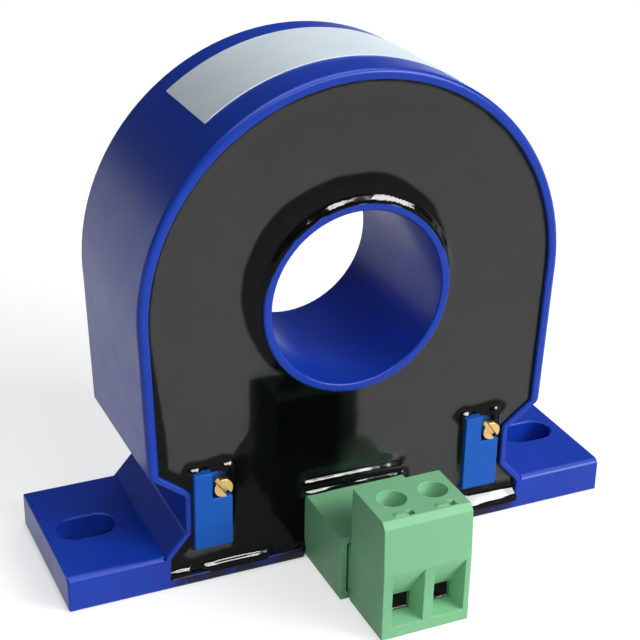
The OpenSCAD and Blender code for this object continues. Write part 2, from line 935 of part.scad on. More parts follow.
// Side view of the plug's body: it leans back and is bevelled at its top
module plug_profile() {
    top_z = term_z + plug_h;
    polygon([
        [plug_back_y, term_z], [plug_back_y, top_z],
        [plug_front_y + plug_lean + plug_bevel, top_z],
        [plug_front_y + plug_lean, top_z - plug_bevel],
        [plug_front_y, term_z + mouth_low + mouth_h + lean_start],
        [plug_front_y, term_z]
    ]);
}

// Square funnel that narrows to the wire passage
module wire_funnel(x) {
    low_z = term_z + mouth_low;
    wall_y = plug_front_y + mouth_d;
    intersection() {
        along_x(x - mouth_w, x + mouth_w)
            polygon([
                [plug_front_y - 1, low_z - mouth_step / mouth_d], [wall_y, wire_low_z],
                [wall_y, wire_low_z + wire_h],
                [plug_front_y, low_z + mouth_h], [plug_front_y - 1, low_z + mouth_h]
            ]);
        translate([0, 0, low_z - 1])
            linear_extrude(height = mouth_h + 2)
                polygon([
                    [x - mouth_w / 2, plug_front_y - 1], [x + mouth_w / 2, plug_front_y - 1],
                    [x + mouth_w / 2, plug_front_y], [x + wire_w / 2, wall_y],
                    [x - wire_w / 2, wall_y], [x - mouth_w / 2, plug_front_y]
                ]);
    }
    bar_y(
        x, wire_low_z + wire_h / 2, wire_w, wire_h,
        wall_y - eps, clamp_y
    );
}

// Pocket of one clamp cage, with the screw well above it
module clamp_pocket(x) {
    pocket_w = cage_w + 2 * cage_clearance;
    pocket_l = cage_l + 2 * cage_clearance;
    translate([x - pocket_w / 2, clamp_y - pocket_l / 2, pocket_low_z])
        cube([pocket_w, pocket_l, pocket_top_z - pocket_low_z]);
    translate([x, clamp_y, pocket_top_z - eps])
        cylinder(r = clamp_shank_r + turn_clearance, h = well_z - pocket_top_z + 2 * eps);
    translate([x, clamp_y, well_z])
        cylinder(r = clamp_head_r + hole_clearance, h = well_d + 1);
}

// Channel of one spring contact, with the pin entry at the plug's tip
module contact_channel(x) {
    channel_w = contact_w + 2 * hole_clearance;
    channel_h = contact_h + 2 * hole_clearance;
    bar_y(x, pin_z, channel_w, channel_h, clamp_y, contact_back_y + hole_clearance);
    bar_y(
        x, pin_z, pin_w + 4 * pin_clearance, pin_w + 4 * pin_clearance,
        contact_back_y, tongue_tip_y + 1
    );
}

module terminal_plug() {
    color([0.45, 0.76, 0.52]) {
        difference() {
            union() {
                along_x(term_x - plug_w / 2, term_x + plug_w / 2)
                    plug_profile();
                translate([term_x - plug_w / 2, plug_back_y - 1, tongue_low_z])
                    cube([plug_w, plug_tongue_l + 1, tongue_top_z - tongue_low_z]);
                for (x = pole_x)
                    translate([x - mark_offset, plug_front_y + top_inset, term_z + plug_h - eps])
                        cube([mark_l, mark_w, mark_h + eps]);
            }
            for (x = pole_x) {
                wire_funnel(x);
                clamp_pocket(x);
                contact_channel(x);
                translate([x + test_offset, plug_front_y + top_inset, term_z + plug_h - test_d])
                    cube([test_w, test_l, test_d + 1]);
            }
        }
    }
}

// Spring contact with the strip that the wire is clamped against
module plug_contacts() {
    inner = pin_w + 2 * pin_clearance;
    color([0.86, 0.74, 0.5])
        for (x = pole_x)
            difference() {
                union() {
                    bar_y(x, pin_z, contact_w, contact_h, contact_front_y, contact_back_y);
                    bar_y(
                        x, strip_low_z + strip_t / 2, contact_w, strip_t,
                        clamp_y - cage_l / 2 + strip_inset, contact_front_y + contact_wall
                    );
                }
                bar_y(x, pin_z, inner, inner, contact_front_y + contact_wall, contact_back_y + 1);
            }
}

// Threaded cage that rises and clamps the wire against the strip
module clamp_cage(x) {
    difference() {
        translate([x - cage_w / 2, clamp_y - cage_l / 2, cage_low_z])
            cube([cage_w, cage_l, cage_top_z - cage_low_z]);
        translate([x - wire_w / 2, clamp_y - cage_l, wire_low_z])
            cube([wire_w, 2 * cage_l, cage_window]);
        translate([x, clamp_y, wire_low_z + cage_window - 1])
            cylinder(r = clamp_shank_r + turn_clearance, h = cage_top + 2);
    }
}

module clamp_cage_left() {
    color([0.78, 0.79, 0.8])
        clamp_cage(pole_x[0]);
}

module clamp_cage_right() {
    color([0.78, 0.79, 0.8])
        clamp_cage(pole_x[1]);
}

// Slotted clamp screw, held by its head and turning in the cage
module clamp_screw(x) {
    seat_z = well_z + turn_clearance;
    difference() {
        union() {
            translate([x, clamp_y, shank_low_z])
                cylinder(r = clamp_shank_r, h = seat_z - shank_low_z + eps);
            translate([x, clamp_y, seat_z])
                cylinder(r = clamp_head_r, h = clamp_head_h);
        }
        translate([x, clamp_y, seat_z + clamp_head_h])
            rotate([0, 0, clamp_turn])
                cube([2 * clamp_head_r + 1, clamp_slot_w, 2 * clamp_slot_d], center = true);
    }
}

module clamp_screw_left() {
    color([0.7, 0.71, 0.72])
        clamp_screw(pole_x[0]);
}

module clamp_screw_right() {
    color([0.7, 0.71, 0.72])
        clamp_screw(pole_x[1]);
}

// Blank label wrapped over the arch
module rating_label() {
    half = label_deg / 2;
    reach = 2 * arch_r;
    color([0.82, 0.86, 0.92])
        intersection() {
            along_y(front_y + label_inset, front_y + label_inset + label_w)
                difference() {
                    translate([0, arch_z])
                        circle(r = arch_r + label_t);
                    translate([0, arch_z])
                        circle(r = arch_r);
                }
            along_y(front_y, body_back_y)
                polygon([
                    [0, arch_z], [reach * sin(half), arch_z + reach * cos(half)],
                    [-reach * sin(half), arch_z + reach * cos(half)]
                ]);
        }
}

housing();
potting_compound();
magnetic_core();
core_insulation();
secondary_winding();
winding_leads();
circuit_board();
amplifier_chip();
rectifier_bridge();
smoothing_capacitor();
burden_resistor();
surge_diode();
chip_resistors();
zero_trimmer_body();
zero_trimmer_screw();
zero_trimmer_pins();
span_trimmer_body();
span_trimmer_screw();
span_trimmer_pins();
terminal_header();
header_pins();
terminal_plug();
plug_contacts();
clamp_cage_left();
clamp_cage_right();
clamp_screw_left();
clamp_screw_right();
rating_label();
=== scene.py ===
import json
import math

import bmesh
import bpy
import numpy as np
from mathutils import Matrix, Vector, noise

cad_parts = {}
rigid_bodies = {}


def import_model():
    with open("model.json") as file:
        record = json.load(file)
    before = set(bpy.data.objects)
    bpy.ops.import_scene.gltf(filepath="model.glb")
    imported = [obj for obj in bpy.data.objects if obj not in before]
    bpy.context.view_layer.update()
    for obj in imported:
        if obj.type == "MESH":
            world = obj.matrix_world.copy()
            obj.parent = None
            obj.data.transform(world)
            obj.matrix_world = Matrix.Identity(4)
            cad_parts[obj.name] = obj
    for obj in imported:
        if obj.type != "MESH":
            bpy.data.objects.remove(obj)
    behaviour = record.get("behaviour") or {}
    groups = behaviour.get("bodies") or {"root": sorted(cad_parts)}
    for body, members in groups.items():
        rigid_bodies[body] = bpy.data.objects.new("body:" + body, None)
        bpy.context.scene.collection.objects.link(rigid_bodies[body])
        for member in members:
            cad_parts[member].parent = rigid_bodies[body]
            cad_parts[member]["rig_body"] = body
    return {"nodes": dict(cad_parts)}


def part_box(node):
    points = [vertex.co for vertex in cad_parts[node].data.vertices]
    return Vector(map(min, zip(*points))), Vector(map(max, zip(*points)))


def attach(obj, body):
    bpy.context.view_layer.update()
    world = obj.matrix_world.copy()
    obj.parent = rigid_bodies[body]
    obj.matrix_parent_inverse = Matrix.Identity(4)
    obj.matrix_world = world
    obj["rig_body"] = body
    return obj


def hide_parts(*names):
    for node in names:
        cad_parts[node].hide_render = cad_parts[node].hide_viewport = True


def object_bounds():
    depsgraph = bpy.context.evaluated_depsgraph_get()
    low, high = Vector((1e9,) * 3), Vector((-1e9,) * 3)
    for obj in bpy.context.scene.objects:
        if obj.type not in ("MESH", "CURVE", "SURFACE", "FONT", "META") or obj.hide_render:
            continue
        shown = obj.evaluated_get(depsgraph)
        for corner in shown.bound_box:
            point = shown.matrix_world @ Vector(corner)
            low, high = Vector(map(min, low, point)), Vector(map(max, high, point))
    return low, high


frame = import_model()
cad_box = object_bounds()
scene = bpy.context.scene
MM = 0.001

# Camera: the photograph's own place, worked out from the housing's corners and circles

CAMERA_AT = (-0.06934, -0.15066, 0.10440)
CAMERA_YAW = math.radians(24.65)
CAMERA_PITCH = math.radians(25.33)
CAMERA_ROLL = math.radians(1.23)
CAMERA_LENS = 86.62
SENSOR_WIDTH = 36


def make_camera():
    cos_yaw, sin_yaw = math.cos(CAMERA_YAW), math.sin(CAMERA_YAW)
    cos_pitch, sin_pitch = math.cos(CAMERA_PITCH), math.sin(CAMERA_PITCH)
    ahead = Vector((sin_yaw * cos_pitch, cos_yaw * cos_pitch, -sin_pitch))
    level = Vector((cos_yaw, -sin_yaw, 0))
    upright = level.cross(ahead)
    right = math.cos(CAMERA_ROLL) * level + math.sin(CAMERA_ROLL) * upright
    up = math.cos(CAMERA_ROLL) * upright - math.sin(CAMERA_ROLL) * level
    data = bpy.data.cameras.new("camera")
    data.sensor_width = SENSOR_WIDTH
    data.lens = CAMERA_LENS
    data.clip_start = 0.005
    data.clip_end = 20
    camera = bpy.data.objects.new("camera", data)
    scene.collection.objects.link(camera)
    turn = Matrix((right, up, -ahead)).transposed().to_4x4()
    camera.matrix_world = Matrix.Translation(CAMERA_AT) @ turn
    scene.camera = camera


make_camera()


# Shader nodes


def add_node(tree, kind, inputs, **settings):
    """A node with its settings made, and each input given a value or linked to a socket."""
    node = tree.nodes.new(kind)
    for name, value in settings.items():
        setattr(node, name, value)
    for name, value in inputs.items():
        if isinstance(value, bpy.types.NodeSocket):
            tree.links.new(value, node.inputs[name])
        else:
            node.inputs[name].default_value = value
    return node


def place(tree, stretch=(1, 1, 1)):
    """The piece's own coordinates in metres, stretched along each axis."""
    coords = tree.nodes.new("ShaderNodeTexCoord")
    inputs = {"Vector": coords.outputs["Object"], "Scale": stretch}
    return add_node(tree, "ShaderNodeMapping", inputs).outputs["Vector"]


def split(tree, vector):
    return add_node(tree, "ShaderNodeSeparateXYZ", {"Vector": vector}).outputs


def cloud(tree, at, scale, detail, roughness, distortion=0.0):
    """Noise, with the scale in lumps to the metre."""
    inputs = {
        "Vector": at,
        "Scale": scale,
        "Detail": detail,
        "Roughness": roughness,
        "Distortion": distortion,
    }
    return add_node(tree, "ShaderNodeTexNoise", inputs).outputs["Fac"]


def ramp(tree, value, stops):
    """Colours by value, one for each (position, colour) stop."""
    node = add_node(tree, "ShaderNodeValToRGB", {"Fac": value})
    elements = node.color_ramp.elements
    for element, (position, colour) in zip(elements, stops):
        element.position = position
        element.color = (*colour, 1)
    return node.outputs["Color"]


def spread(tree, value, low, high, start=0.3, end=0.7):
    """The value from start to end, mapped to low and high and held there past the ends."""
    inputs = {
        "Value": value,
        "From Min": start,
        "From Max": end,
        "To Min": low,
        "To Max": high,
    }
    return add_node(tree, "ShaderNodeMapRange", inputs).outputs["Result"]


def combine(tree, operation, first, *others):
    """One maths operation, taken over all the values from the first one on."""
    total = first
    for other in others:
        total = add_node(
            tree, "ShaderNodeMath", {0: total, 1: other}, operation=operation
        ).outputs[0]
    return total


def size_of(tree, value):
    return add_node(tree, "ShaderNodeMath", {0: value}, operation="ABSOLUTE").outputs[0]


def mix(tree, share, first, second):
    """From the first number, at share 0, to the second, at share 1."""
    return add_node(tree, "ShaderNodeMix", {0: share, 2: first, 3: second}).outputs[0]


def mix_colours(tree, share, first, second):
    inputs = {0: share, 6: first, 7: second}
    return add_node(tree, "ShaderNodeMix", inputs, data_type="RGBA").outputs[2]


def bump(tree, shader, heights):
    """Relief from (height, strength, depth in metres), each laid over the one before."""
    last = None
    for height, strength, depth in heights:
        inputs = {"Height": height, "Strength": strength, "Distance": depth}
        if last is not None:
            inputs["Normal"] = last
        last = add_node(tree, "ShaderNodeBump", inputs).outputs["Normal"]
    tree.links.new(last, shader.inputs["Normal"])


# Materials: each has its colour, roughness and relief from noise or bands


def new_material(name):
    material = bpy.data.materials.new(name)
    material.use_nodes = True
    tree = material.node_tree
    return material, tree, tree.nodes["Principled BSDF"]


def two_tones(tree, shader, value, deep, pale):
    tree.links.new(ramp(tree, value, [(0.3, deep), (0.7, pale)]), shader.inputs["Base Color"])


def roughen(tree, shader, value, rough):
    tree.links.new(spread(tree, value, *rough), shader.inputs["Roughness"])


def moulded(name, deep, pale, rough, grain=0.25, waves=0.15, specular=0.5):
    """Moulded plastic: nearly one colour, with soft waves and a fine grain."""
    material, tree, shader = new_material(name)
    at = place(tree)
    two_tones(tree, shader, cloud(tree, at, scale=60, detail=4, roughness=0.6), deep, pale)
    roughen(tree, shader, cloud(tree, at, scale=320, detail=4, roughness=0.55), rough)
    soft = cloud(tree, at, scale=130, detail=2, roughness=0.4)
    fine = cloud(tree, at, scale=2600, detail=2, roughness=0.5)
    bump(tree, shader, [(soft, waves, 0.4 * MM), (fine, grain, 0.04 * MM)])
    shader.inputs["Specular IOR Level"].default_value = specular
    return material


def metal(name, deep, pale, rough, stretch=(1, 1, 1), grain=0.3):
    material, tree, shader = new_material(name)
    at = place(tree, stretch)
    tone = cloud(tree, at, scale=500, detail=4, roughness=0.6)
    two_tones(tree, shader, tone, deep, pale)
    roughen(tree, shader, tone, rough)
    bump(tree, shader, [(cloud(tree, at, scale=3000, detail=3, roughness=0.6), grain, 0.03 * MM)])
    shader.inputs["Metallic"].default_value = 1
    return material


def banded(name, deep, pale, rough, bands, metallic, direction="X", depth=0.1 * MM):
    """Turns of wire, strip or tape, with the number of bands by the metre."""
    material, tree, shader = new_material(name)
    at = place(tree)
    inputs = {"Vector": at, "Scale": bands, "Distortion": 0.4, "Detail": 1.5}
    wave = add_node(tree, "ShaderNodeTexWave", inputs, bands_direction=direction)
    turns = wave.outputs["Fac"]
    tree.links.new(ramp(tree, turns, [(0.2, deep), (0.8, pale)]), shader.inputs["Base Color"])
    roughen(tree, shader, cloud(tree, at, scale=300, detail=3, roughness=0.5), rough)
    bump(tree, shader, [(turns, 0.5, depth)])
    shader.inputs["Metallic"].default_value = metallic
    return material


def solder_mask():
    """Green mask with paler traces in a brick pattern."""
    material, tree, shader = new_material("solder_mask")
    at = place(tree)
    inputs = {
        "Vector": at,
        "Scale": 240,
        "Mortar Size": 0.03,
        "Color1": (0.010, 0.11, 0.035, 1),
        "Color2": (0.013, 0.13, 0.042, 1),
        "Mortar": (0.035, 0.23, 0.08, 1),
    }
    bricks = add_node(tree, "ShaderNodeTexBrick", inputs)
    tree.links.new(bricks.outputs["Color"], shader.inputs["Base Color"])
    tone = cloud(tree, at, scale=400, detail=3, roughness=0.5)
    roughen(tree, shader, tone, (0.28, 0.42))
    traces = bricks.outputs["Fac"]
    bump(tree, shader, [(traces, 0.3, 0.03 * MM), (tone, 0.15, 0.03 * MM)])
    return material


# The darker lower rim of the housing's front: where each side's fade starts and ends, in millimetres
LOWER_RIM_ACROSS = (22.2, 22.8)
LOWER_RIM_DEPTH = (-9.8, -9.5)
LOWER_RIM_TOP = (1.4, 1.8)
LOWER_RIM_COLOUR = (0.002, 0.003, 0.02)


def darken_lower_rim(material):
    """Darken the lower rim of the front towards a near-black navy, in mottled patches."""
    tree = material.node_tree
    colour = tree.nodes["Principled BSDF"].inputs["Base Color"]
    clean = colour.links[0].from_socket
    at = place(tree)
    sides = split(tree, at)

    def before(value, fade):
        return spread(tree, value, 1, 0, fade[0] * MM, fade[1] * MM)

    amount = combine(
        tree,
        "MULTIPLY",
        before(size_of(tree, sides["X"]), LOWER_RIM_ACROSS),
        before(sides["Y"], LOWER_RIM_DEPTH),
        before(sides["Z"], LOWER_RIM_TOP),
        spread(tree, cloud(tree, at, scale=300, detail=4, roughness=0.6), 0.45, 0.97, 0.38, 0.52),
    )
    dark = ramp(tree, amount, [(0.0, LOWER_RIM_COLOUR), (1.0, LOWER_RIM_COLOUR)])
    tree.links.new(mix_colours(tree, amount, clean, dark), colour)


# Plain resin, and resin under a painted dark reflection: black, with little specular, where it stands
# in for the mirrored shaded plug and dark room
PLAIN_RESIN = [(0.35, (0.002, 0.002, 0.003)), (0.7, (0.006, 0.006, 0.006))]
PAINTED_REFLECTION_RESIN = [(0.35, (0.001, 0.001, 0.001)), (0.7, (0.002, 0.0025, 0.002))]
PLAIN_ROUGH = (0.08, 0.18)
PAINTED_REFLECTION_ROUGH = 0.09
PLAIN_SPECULAR = 0.6
PAINTED_REFLECTION_SPECULAR = 0.11
LIP_SPECULAR = 0.6


def resin():
    """Grey with reflections on the plain skin, and black under a painted dark reflection
    where the mesh's mask is 1: darker colour and less specular there stand in for the shaded
    plug and the dark room that the resin mirrors. Bright on lips, whose specular is raised.

    The mesh says which is where, in two values: the mask of painted dark reflection, and lip."""
    material, tree, shader = new_material("poured_resin")
    at = place(tree)
    # The mask of painted dark reflection, and the up-facing lips whose specular is raised for the lamps
    painted_reflection, lip = (
        add_node(tree, "ShaderNodeAttribute", {}, attribute_name=name).outputs["Fac"]
        for name in ("painted_reflection", "lip")
    )
    tone = cloud(tree, at, scale=220, detail=6, roughness=0.7)
    colour = mix_colours(tree, painted_reflection, ramp(tree, tone, PLAIN_RESIN), ramp(tree, tone, PAINTED_REFLECTION_RESIN))
    tree.links.new(colour, shader.inputs["Base Color"])
    haze = spread(tree, cloud(tree, at, scale=75, detail=4, roughness=0.55, distortion=0.4), *PLAIN_ROUGH)
    tree.links.new(mix(tree, painted_reflection, haze, PAINTED_REFLECTION_ROUGH), shader.inputs["Roughness"])
    level = spread(tree, painted_reflection, PLAIN_SPECULAR, PAINTED_REFLECTION_SPECULAR, 0.0, 1.0)
    gloss = mix(tree, lip, level, LIP_SPECULAR)
    tree.links.new(gloss, shader.inputs["Specular IOR Level"])
    swell = cloud(tree, at, scale=70, detail=2, roughness=0.4)
    dust = cloud(tree, at, scale=1500, detail=4, roughness=0.7)
    bump(tree, shader, [(swell, 0.25, 0.5 * MM), (dust, 0.10, 0.04 * MM)])
    return material


blue = moulded(
    "royal_blue_plastic",
    deep=(0.004, 0.034, 0.34),
    pale=(0.006, 0.042, 0.40),
    rough=(0.29, 0.35),
    grain=0.02,
    waves=0.06,
    specular=0.3,
)
# Darker mottled patches on the lower front rim of the blue
darken_lower_rim(blue)
black = resin()
azure = moulded(
    "azure_plastic",
    deep=(0.003, 0.080, 0.40),
    pale=(0.005, 0.095, 0.46),
    rough=(0.38, 0.52),
    grain=0.1,
    waves=0.06,
    specular=0.25,
)
green = moulded(
    "terminal_green_plastic",
    deep=(0.185, 0.46, 0.24),
    pale=(0.215, 0.51, 0.275),
    rough=(0.42, 0.58),
    grain=0.15,
    waves=0.06,
    specular=0.3,
)
film = moulded(
    "label_film",
    deep=(0.66, 0.76, 0.84),
    pale=(0.75, 0.84, 0.91),
    rough=(0.34, 0.48),
    grain=0.15,
    waves=0.05,
)
chip_black = moulded(
    "chip_mould", deep=(0.012, 0.012, 0.013), pale=(0.020, 0.020, 0.021), rough=(0.5, 0.7)
)
lacquer = moulded(
    "lacquered_ceramic", deep=(0.10, 0.20, 0.34), pale=(0.14, 0.26, 0.42), rough=(0.3, 0.45)
)
brass = metal(
    "turned_brass", deep=(0.62, 0.40, 0.15), pale=(0.86, 0.62, 0.27), rough=(0.24, 0.42)
)
strip_brass = metal(
    "contact_strip", deep=(0.66, 0.50, 0.26), pale=(0.80, 0.66, 0.38), rough=(0.22, 0.36)
)
zinc = metal(
    "zinc_plated_steel", deep=(0.42, 0.43, 0.44), pale=(0.62, 0.63, 0.64), rough=(0.26, 0.44)
)
tin = metal(
    "tinned_pin", deep=(0.62, 0.62, 0.63), pale=(0.80, 0.80, 0.81), rough=(0.18, 0.32)
)
can = metal(
    "drawn_can",
    deep=(0.55, 0.56, 0.58),
    pale=(0.72, 0.73, 0.75),
    rough=(0.22, 0.34),
    stretch=(1, 0.1, 1),
)
copper = banded(
    "enamelled_copper",
    deep=(0.26, 0.07, 0.02),
    pale=(0.55, 0.20, 0.07),
    rough=(0.2, 0.34),
    bands=900,
    metallic=1,
)
strip_steel = banded(
    "wound_strip_steel",
    deep=(0.10, 0.10, 0.11),
    pale=(0.24, 0.25, 0.27),
    rough=(0.3, 0.5),
    bands=1500,
    metallic=1,
    direction="Z",
)
tape = banded(
    "film_tape",
    deep=(0.60, 0.45, 0.12),
    pale=(0.74, 0.60, 0.22),
    rough=(0.3, 0.5),
    bands=260,
    metallic=0,
    depth=0.05 * MM,
)
mask_green = solder_mask()


# CAD nodes that keep their own mesh: the parts under the resin and the plain metal parts


def dress(piece, material):
    piece.data.materials.clear()
    piece.data.materials.append(material)


for node, material in {
    "magnetic_core": strip_steel,
    "core_insulation": tape,
    "secondary_winding": copper,
    "winding_leads": copper,
    "circuit_board": mask_green,
    "amplifier_chip": chip_black,
    "rectifier_bridge": chip_black,
    "smoothing_capacitor": can,
    "burden_resistor": lacquer,
    "surge_diode": chip_black,
    "chip_resistors": chip_black,
    "zero_trimmer_pins": tin,
    "span_trimmer_pins": tin,
    "header_pins": tin,
    "plug_contacts": strip_brass,
}.items():
    dress(frame["nodes"][node], material)


# Pieces that stand for CAD nodes, with the rounded edges of moulded and turned parts

SHARP_EDGE = math.radians(32)
SHADED_EDGE = math.radians(38)
FLAT_ENOUGH = math.radians(0.4)
SAME_POINT = 0.002 * MM
ARCH_EDGE = 0.6
ARCH_SEGMENTS = 5


def add_piece(mesh, name, body, material, nodes):
    piece = bpy.data.objects.new(name, mesh)
    scene.collection.objects.link(piece)
    dress(piece, material)
    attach(piece, body)
    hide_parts(*nodes)
    return piece


def smooth(piece):
    piece.data.shade_smooth()
    piece.data.set_sharp_from_angle(angle=SHADED_EDGE)
    modifier = piece.modifiers.new("normals", "WEIGHTED_NORMAL")
    modifier.keep_sharp = True
    modifier.weight = 60


def bevel(bm, edges, width, segments):
    bmesh.ops.bevel(
        bm,
        geom=edges,
        offset=width * MM,
        segments=segments,
        profile=0.5,
        affect="EDGES",
        clamp_overlap=False,
        loop_slide=True,
    )


def is_sharp(edge):
    return len(edge.link_faces) == 2 and edge.calc_face_angle() > SHARP_EDGE


def rounded(node, name, material, width, segments=2, on_arch=None):
    """A copy of the node with its sharp edges rounded by width, in millimetres.

    Edges that on_arch picks are rounded first, by the arch's own larger width."""
    source = frame["nodes"][node]
    bm = bmesh.new()
    bm.from_mesh(source.data)
    bmesh.ops.remove_doubles(bm, verts=bm.verts, dist=SAME_POINT)
    bmesh.ops.dissolve_limit(bm, angle_limit=FLAT_ENOUGH, verts=bm.verts, edges=bm.edges)
    if on_arch:
        bevel(bm, [edge for edge in bm.edges if on_arch(edge)], ARCH_EDGE, ARCH_SEGMENTS)
    bevel(bm, [edge for edge in bm.edges if is_sharp(edge)], width, segments)
    mesh = bpy.data.meshes.new(name)
    bm.to_mesh(mesh)
    bm.free()
    smooth(add_piece(mesh, name, source["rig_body"], material, [node]))


# The arch, in millimetres: its middle, and limits just short of its outer front edge
ARCH_Z = 33.4
RIM_Y = -9.95
RIM_LOW_Z = 14.5
RIM_R = 24.9


def on_arch_rim(edge):
    """The front edge of the arch's outer face, down to the shoulders."""
    for vert in edge.verts:
        x, y, z = vert.co / MM
        across = math.hypot(x, max(z - ARCH_Z, 0))
        if y > RIM_Y or z < RIM_LOW_Z or across < RIM_R:
            return False
    return True


rounded("housing", "shell", blue, 0.28, 3, on_arch_rim)
for side in ("zero", "span"):
    rounded(f"{side}_trimmer_body", f"{side}_trimmer_case", azure, 0.12)
    rounded(f"{side}_trimmer_screw", f"{side}_adjuster", brass, 0.06)
rounded("terminal_header", "header_case", green, 0.1)
rounded("terminal_plug", "plug_case", green, 0.09)
for side in ("left", "right"):
    rounded(f"clamp_cage_{side}", f"{side}_cage", zinc, 0.08)
    rounded(f"clamp_screw_{side}", f"{side}_screw", zinc, 0.1)
rounded("rating_label", "blank_label", film, 0.02, segments=1)


# Resin: a poured surface that creeps up at every wall it meets. All in millimetres, seen
# from the front as x and z, with heights of the surface towards the viewer

INNER_R = 24.65
RIGHT_WALL = [
    (24.58, 31.52),
    (23.95, 15.06),
    (20.15, 12.2),
    (20.15, 6.9),
    (22.8, 3.88),
    (22.8, 1.2),
]
LEFT_WALL = [(-x, z) for x, z in reversed(RIGHT_WALL)]
ARC_STEP = 3
TUBE_R = 11.55
TUBE_Z = 32.85
SKIN_Y = -9.4
BACK_Y = 8.0
GRID_STEP = 0.2
GRID_X = (-25.2, 25.21)
GRID_Z = (0.6, 58.6)

# The header's outline goes on down past the base, so that no resin lies under it
BELOW_BASE = -1.0

# How far the sheet of resin runs into what it meets, so that no gap shows
INTO_WALL = 0.36
INTO_TUBE = 0.42
INTO_PARTS = 0.5

# The lips: how steeply they climb and how wide they are at each thing they climb
LIP_SLOPE = 0.74
TUBE_LIP_SLOPE = 0.6
TUBE_LIP = 0.8
BASE_LIP = 0.8
TRIMMER_LIP = 0.6
HEADER_LIP = 0.6
HEADER_RIDGE = 1.8
RIDGE_TOP = 0.45
GROOVE_DEPTH = 0.42
GROOVE_END = 3.4
BASE_LIP_Z = 1.5

# The raised collar, a disc set a little up and to the left of the tube
COLLAR_R = 12.9
COLLAR_X = -1.2
COLLAR_UP = 2.08
COLLAR_RISE = 0.14
COLLAR_SLOPE = 1.6

# How the skin swells: towards the wall and the trimmers, and in lumps of three sizes
WALL_RISE = 0.12
WALL_REACH = 0.9
TRIMMER_RISE = 0.14
TRIMMER_REACH = 1.5
BROAD_LUMPS = 7.0
MIDDLE_LUMPS = 2.4
SMALL_LUMPS = 0.9
LOWEST = -0.6
HIGHEST = 0.58
CREASE = math.radians(60)

# The dip at the lower right: where it starts and how it slopes
DIP_START = (14.0, 16.5)
DIP_SLOPE = 0.76
DIP_REACH = 1.4
DIP_TOP = 4.0
DIP_DEPTH = 0.5
DIP_TILT = 0.05
DIP_X = 20

# The areas of painted dark reflection on the resin: how far they reach from each thing
REFLECTION_ROUND_HEADER = 1.3
REFLECTION_ROUND_TRIMMER = 0.45
REFLECTION_OVER_TRIMMER = 1.1
REFLECTION_AT_WALL = 0.4
REFLECTION_BASE_Z = 4.2
LEFT_REFLECTION_START = (14, 18)
LEFT_REFLECTION_FADE = (17, 34)

# The plug's painted reflection, a dark patch on the resin: its left edge and how far that goes out near
# the trimmer, its top and right
PLUG_REFLECTION_LEFT = -13.2
PLUG_REFLECTION_FLARE = 2.3
PLUG_REFLECTION_FLARE_Z = (15, 19)
PLUG_REFLECTION_TOP = 25.2
PLUG_REFLECTION_RIGHT = (-2.5, -0.5)


def front_box(node):
    """The node's outline from the front: low x, low z, high x, high z."""
    low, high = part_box(node)
    return low.x / MM, low.z / MM, high.x / MM, high.z / MM


def inner_outline():
    """The housing's inner face: the arch from left to right, then down, across and up."""
    arc = [
        (
            INNER_R * math.cos(math.radians(angle)),
            ARCH_Z + INNER_R * math.sin(math.radians(angle)),
        )
        for angle in range(180, -1, -ARC_STEP)
    ]
    return np.array(arc + RIGHT_WALL + LEFT_WALL)


def depth_inside(px, pz, outline):
    """Distance to the outline, positive inside it."""
    nearest = np.full(px.shape, np.inf)
    inside = np.zeros(px.shape, bool)
    for (x0, z0), (x1, z1) in zip(outline, np.roll(outline, -1, 0)):
        dx, dz = x1 - x0, z1 - z0
        along = ((px - x0) * dx + (pz - z0) * dz) / (dx * dx + dz * dz)
        along = np.clip(along, 0, 1)
        nearest = np.minimum(nearest, np.hypot(px - x0 - along * dx, pz - z0 - along * dz))
        if z0 != z1:
            spans = (z0 > pz) != (z1 > pz)
            inside ^= spans & (px < dx * (pz - z0) / dz + x0)
    return np.where(inside, nearest, -nearest)


def outside_box(px, pz, box):
    """Distance to the box, negative inside it."""
    x0, z0, x1, z1 = box
    dx = np.maximum(np.maximum(x0 - px, px - x1), 0)
    dz = np.maximum(np.maximum(z0 - pz, pz - z1), 0)
    inner = np.minimum(np.minimum(px - x0, x1 - px), np.minimum(pz - z0, z1 - pz))
    return np.where(inner > 0, -inner, np.hypot(dx, dz))


def ease(value, low, high):
    """0 below low, 1 above high, and a soft step between."""
    t = np.clip((value - low) / (high - low), 0, 1)
    return t * t * (3 - 2 * t)


def lumps(xs, zs, size, seed):
    """Smooth noise over the grid, with lumps of about that size."""
    return np.array(
        [[noise.noise(Vector((x / size, z / size, seed))) for z in zs] for x in xs]
    )


